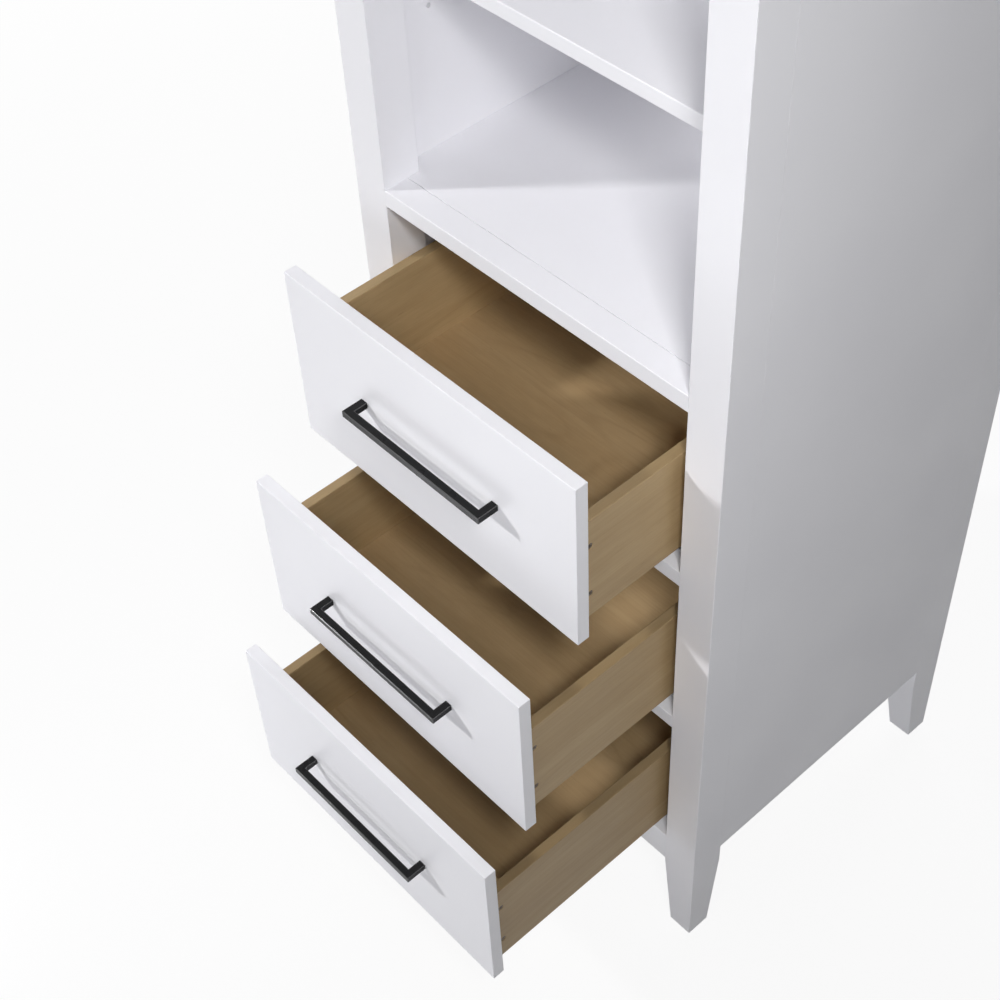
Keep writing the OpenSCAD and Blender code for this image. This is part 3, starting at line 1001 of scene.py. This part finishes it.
@dataclass
class BarPull:
    """A square bar pull: a bar on two feet, all of one section, rubbed a little brighter along its edges."""

    node: str
    foot: float = 0.009
    radius: float = 0.0008
    segments: int = 4
    flat: float = 0.999

    def build(self) -> Object:
        """Draws the pull's outline as seen from above, gives it its height and rounds its edges.

        Returns:
            The piece.
        """
        low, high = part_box(self.node)
        foot = self.foot
        outline = [(low.x, high.y), (low.x, low.y), (high.x, low.y), (high.x, high.y), (high.x - foot, high.y),
                   (high.x - foot, low.y + foot), (low.x + foot, low.y + foot), (low.x + foot, high.y)]
        bm = bmesh.new()
        face = bm.faces.new([bm.verts.new((x, y, low.z)) for x, y in outline])
        made = bmesh.ops.extrude_face_region(bm, geom=[face], use_keep_orig=True)["geom"]
        bmesh.ops.translate(bm, verts=[g for g in made if isinstance(g, BMVert)], vec=(0, 0, high.z - low.z))
        bmesh.ops.recalc_face_normals(bm, faces=bm.faces)
        ease(bm, sharp_edges(bm), self.radius, self.segments)
        for face in bm.faces:
            face.material_index = 0 if max(abs(part) for part in face.normal) > self.flat else 1
        piece = add_piece(bm, self.node + "_shown", BLACK, self.node)
        piece.data.materials.append(RUBBED.material())
        return piece


@dataclass
class Drawer:
    """One drawer: its front, its box, its pull, its screws and the slides under it."""

    name: str
    shift: Point
    # A drawer's tone paints the maple of its sides and bottom lighter or darker: painted light, set lighter for the
    # top drawer and darker for the bottom one.
    tone: float = 1.0
    # The box sides' maple is painted lighter than the other boards', the left sides most: painted light on the faces
    # that the lamps catch.
    left_lit_tone: float = 1.28
    right_lit_tone: float = 1.06
    # The sides' upward-facing top edges are painted darker: painted shade.
    top_shade_tone: float = 0.78
    front_edge: float = 0.0007
    box_edge: float = 0.0009
    bottom_edge: float = 0.0003
    facing_up: float = 0.5
    box_screw: Screw = field(default_factory=lambda: Screw(head_r=0.0034, sink=0.0006))
    pull_screw: Screw = field(default_factory=lambda: Screw(length=0.043, head=Head.PAN, head_h=0.002))
    nudges: ClassVar[dict[str, float]] = {"box_left": 0.37, "box_right": 1.91, "box_front": 2.63, "box_back": 3.29,
                                          "box_bottom": 4.57}

    def node(self, part: str) -> str:
        """The name of one of the drawer's nodes."""
        return f"{self.name}_{part}"

    def wood(self, part: str, grain: Axis, tone: float = 1.0, base: ClearMaple = MAPLE) -> ClearMaple:
        """Maple cut from a place of its own for each board.

        Args:
            part: The board's part name.
            grain: The way that the grain runs.
            tone: How light the board is beside the others.
            base: The maple that it is cut from.

        Returns:
            The board's finish.
        """
        return base.cut(grain, tuple(s + self.nudges[part] for s in self.shift), tone)

    def build(self) -> None:
        """Builds every piece of the drawer and its slides."""
        eased_board(self.node("drawer_front"), PAINT, self.front_edge, Axis.X, Axis.Y, Axis.Z)
        self.side("box_left", self.left_lit_tone * self.tone)
        self.side("box_right", self.right_lit_tone * self.tone)
        for part in ("box_front", "box_back"):
            eased_board(self.node(part), self.wood(part, Axis.X), self.box_edge, Axis.X)
        eased_board(self.node("box_bottom"), self.wood("box_bottom", Axis.X, self.tone, VENEER), self.bottom_edge,
                    Axis.X)
        BarPull(self.node("pull")).build()
        self.screws("box_screws", self.box_screw, BRONZED)
        self.screws("pull_screws", self.pull_screw, ZINC)
        for part in ("slide_fixed", "slide_middle", "slide_inner"):
            dress(self.node(part), ZINC)

    def side(self, part: str, tone: float) -> Object:
        """Builds a box side, whose upward-facing top edge is painted darker, as painted shade.

        Args:
            part: The side's part name.
            tone: How light the board is beside the others.

        Returns:
            The piece.
        """
        piece = eased_board(self.node(part), self.wood(part, Axis.Y, tone), self.box_edge, Axis.Y, Axis.Z)
        # A darker copy of the maple goes on the faces that look upwards: painted shade on the top edge.
        piece.data.materials.append(self.wood(part, Axis.Y, tone * self.top_shade_tone).material())
        for face in piece.data.polygons:
            face.material_index = 1 if face.normal.z > self.facing_up else 0
        return piece

    def screws(self, part: str, screw: Screw, finish: Finish) -> Object:
        """Builds a group of screws where the node's own solids lie.

        Args:
            part: The group's part name.
            screw: The screw that it repeats.
            finish: The screws' finish.

        Returns:
            The piece.
        """
        bm = bmesh.new()
        for low, high in solids_of(self.node(part)):
            screw.add(bm, self.place(low, high))
        return add_piece(bm, self.node(part) + "_shown", finish, self.node(part))

    def place(self, low: Vector, high: Vector) -> Matrix:
        """Where a screw's head is, and which way it points.

        Args:
            low: The lowest corner of the screw's solid.
            high: The highest corner.

        Returns:
            The screw's place.
        """
        middle = (low + high) / 2
        if high.x - low.x > high.y - low.y:
            side = math.copysign(1.0, middle.x)
            head = Vector((high.x if side > 0 else low.x, middle.y, middle.z))
            return Matrix.Translation(head) @ Matrix.Rotation(math.radians(-90 * side), 4, "Y")
        return Matrix.Translation((middle.x, high.y, middle.z)) @ Matrix.Rotation(math.radians(90), 4, "X")


@dataclass
class SlideScrews:
    """The pan-head screws that hold the slides to the cleats."""

    node: str = "slide_screws"
    screw: Screw = field(default_factory=lambda: Screw(length=0.018, head=Head.PAN, head_h=0.002))

    def build(self) -> Object:
        """Builds the screws where the node's own solids lie, with their heads towards the drawers.

        Returns:
            The piece.
        """
        bm = bmesh.new()
        for low, high in solids_of(self.node):
            side = math.copysign(1.0, low.x + high.x)
            head = Vector((low.x if side > 0 else high.x, (low.y + high.y) / 2, (low.z + high.z) / 2))
            self.screw.add(bm, Matrix.Translation(head) @ Matrix.Rotation(math.radians(90 * side), 4, "Y"))
        return add_piece(bm, self.node + "_shown", ZINC, self.node)


@dataclass
class PhotoCamera:
    """A camera at the photograph's own place."""

    azimuth: float = 50.286
    elevation: float = 47.408
    roll: float = -3.617
    distance: float = 1.92895
    target: Point = (-0.05892, -0.230, 0.55703)
    focal_px: float = 1747.5
    image_px: float = 1000.0
    sensor_mm: float = 36.0
    clip: Range = (0.05, 60.0)

    def build(self) -> Object:
        """Builds the camera.

        Returns:
            The camera.
        """
        a, e, r = (math.radians(x) for x in (self.azimuth, self.elevation, self.roll))
        back = Vector((math.sin(a) * math.cos(e), -math.cos(a) * math.cos(e), math.sin(e)))
        right = (-back).cross(Vector((0, 0, 1))).normalized()
        up = right.cross(-back)
        level = math.cos(r) * right + math.sin(r) * up
        tall = -math.sin(r) * right + math.cos(r) * up
        data = bpy.data.cameras.new("photo_camera")
        data.sensor_fit, data.sensor_width = "HORIZONTAL", self.sensor_mm
        data.lens = self.focal_px * self.sensor_mm / self.image_px
        data.clip_start, data.clip_end = self.clip
        camera = bpy.data.objects.new("photo_camera", data)
        turn = Matrix((level, tall, back)).transposed().to_4x4()
        camera.matrix_world = Matrix.Translation(Vector(self.target) + back * self.distance) @ turn
        bpy.context.scene.collection.objects.link(camera)
        bpy.context.scene.camera = camera
        return camera


@dataclass
class Lamp:
    """A square soft lamp, aimed at a point of the cabinet. A grid narrows its spread, in degrees."""

    name: str
    place: Point
    size: float
    power: float
    aim: Point = (0.0, -0.2, 0.8)
    spread: float = 180.0
    colour: Colour = (1.0, 1.0, 1.0)

    def build(self) -> Object:
        """Builds the lamp.

        Returns:
            The lamp.
        """
        data = bpy.data.lights.new(self.name, "AREA")
        data.shape, data.size, data.energy, data.color = "SQUARE", self.size, self.power, self.colour
        data.spread = math.radians(self.spread)
        lamp = bpy.data.objects.new(self.name, data)
        place = Vector(self.place)
        turn = (place - Vector(self.aim)).to_track_quat("Z", "Y").to_matrix().to_4x4()
        lamp.matrix_world = Matrix.Translation(place) @ turn
        lamp.visible_camera = False
        bpy.context.scene.collection.objects.link(lamp)
        return lamp


@dataclass
class Studio:
    """A pale floor, soft lamps and a white surround."""

    cool: ClassVar[Colour] = (0.975, 0.985, 1.03)
    floor_size: float = 40.0
    floor: Colour = (0.50, 0.50, 0.50)
    floor_speck: Colour = (0.48, 0.48, 0.48)
    floor_seen: Colour = (0.95, 0.95, 0.95)
    floor_roughness: float = 0.5
    speck_scale: float = 3.0
    floor_white: float = 0.90
    fade: Range = (0.8, 2.6)
    lamps: tuple[Lamp, ...] = (
        Lamp("key", (-2.507, -2.707, 2.553), 0.25, 19.2, aim=(0.0, -0.2, 0.6), spread=90.0),
        Lamp("overhead_right", (1.17, -1.00, 2.30), 0.30, 3.7, aim=(0.0, -0.2, 0.72), spread=82.0),
        Lamp("near_right", (1.33, -1.42, 2.28), 0.35, 1.45, aim=(0.0, -0.2, 0.72), spread=82.0),
        Lamp("front", (0.9, -2.8, 1.2), 1.0, 12.5, colour=cool),
        Lamp("right", (2.6, -1.2, 1.2), 1.0, 3.6, colour=cool),
        Lamp("low_front", (-0.45, -0.95, 0.05), 0.3, 1.2, colour=cool),
        Lamp("rear_left", (-2.0, 2.2, 2.6), 1.5, 29.0, colour=cool),
        Lamp("rear", (-0.6, 3.4, 1.5), 1.5, 45.0, aim=(0.0, 0.2, 0.9)),
    )
    bay_lamp_size: float = 0.16
    bay_lamp_power: float = 0.070
    bay_lamp_spread: float = 84.0
    bay_lamp_place: tuple[float, float] = (0.03, 0.12)
    bay_lamp_aim: float = 0.9
    bay_lamps: tuple[tuple[str, float], ...] = (("lower_bay", 1.132), ("middle_bay", 1.383), ("upper_bay", 1.660))

    def build(self) -> None:
        """Builds the studio."""
        bpy.context.scene.view_settings.view_transform = "Standard"
        self.build_floor()
        self.build_surround()
        for lamp in (*self.lamps, *(self.bay_lamp(name, height) for name, height in self.bay_lamps)):
            lamp.build()
            log.info("lamp %s", lamp.name)

    def bay_lamp(self, name: str, height: float) -> Lamp:
        """A weak lamp under a shelf or the top, pointing straight down into the bay.

        Args:
            name: The lamp's name.
            height: How high it hangs.

        Returns:
            The lamp.
        """
        return Lamp(name, (*self.bay_lamp_place, height), self.bay_lamp_size, self.bay_lamp_power,
                    aim=(*self.bay_lamp_place, self.bay_lamp_aim), spread=self.bay_lamp_spread)

    def build_floor(self) -> Object:
        """Builds the floor, which shows almost white and keeps the cabinet's shadow.

        Returns:
            The floor.
        """
        bm = bmesh.new()
        bmesh.ops.create_grid(bm, x_segments=1, y_segments=1, size=self.floor_size / 2)
        mesh = bpy.data.meshes.new("floor")
        bm.to_mesh(mesh)
        bm.free()
        graph = NodeGraph.of_material("pale_floor")
        speck = graph.noise(graph.coordinates(), self.speck_scale)
        seen = graph.seen()
        paper = graph.blend(graph.spread(speck, MOST), self.floor, self.floor_speck)
        matt = graph.add("BsdfDiffuse", {"Color": graph.blend(seen, paper, self.floor_seen),
                                         "Roughness": self.floor_roughness})
        white = graph.add("Emission", {"Color": (1.0, 1.0, 1.0, 1.0), "Strength": 1.0})
        reach = graph.add("VectorMath", {0: graph.coordinates()}, operation="LENGTH").outputs["Value"]
        whiter = graph.spread(reach, self.fade, (self.floor_white, 1.0))
        mixed = graph.add("MixShader", {0: graph.times(seen, whiter), 1: matt.outputs[0], 2: white.outputs[0]})
        graph.add("OutputMaterial", {"Surface": mixed.outputs[0]})
        mesh.materials.append(graph.owner)
        floor = bpy.data.objects.new("floor", mesh)
        bpy.context.scene.collection.objects.link(floor)
        return floor

    def build_surround(self) -> None:
        """Builds the surround: white to the camera and in gloss, and dark otherwise."""
        graph = NodeGraph(bpy.data.worlds.new("surround"))
        back = graph.add("Background", {"Color": (1.0, 1.0, 1.0, 1.0), "Strength": graph.seen()})
        graph.add("OutputWorld", {"Surface": back.outputs[0]})
        bpy.context.scene.world = graph.owner


def main() -> None:
    """Builds the cabinet's looks, piece by piece, and the studio round it."""
    logging.basicConfig(level=logging.INFO, format="%(name)s: %(message)s")
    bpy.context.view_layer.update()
    PhotoCamera().build()
    Carcass().build()
    Shelves().build()
    # The top drawer's maple is painted lighter and the bottom drawer's darker: painted light falling off towards the
    # floor.
    Drawer("top", shift=(0.2, 0.7, 0.1), tone=1.05).build()
    Drawer("middle", shift=(5.3, 2.9, 1.7)).build()
    Drawer("bottom", shift=(9.1, 6.2, 4.4), tone=0.90).build()
    SlideScrews().build()
    Studio().build()


if __name__ == "__main__":
    main()
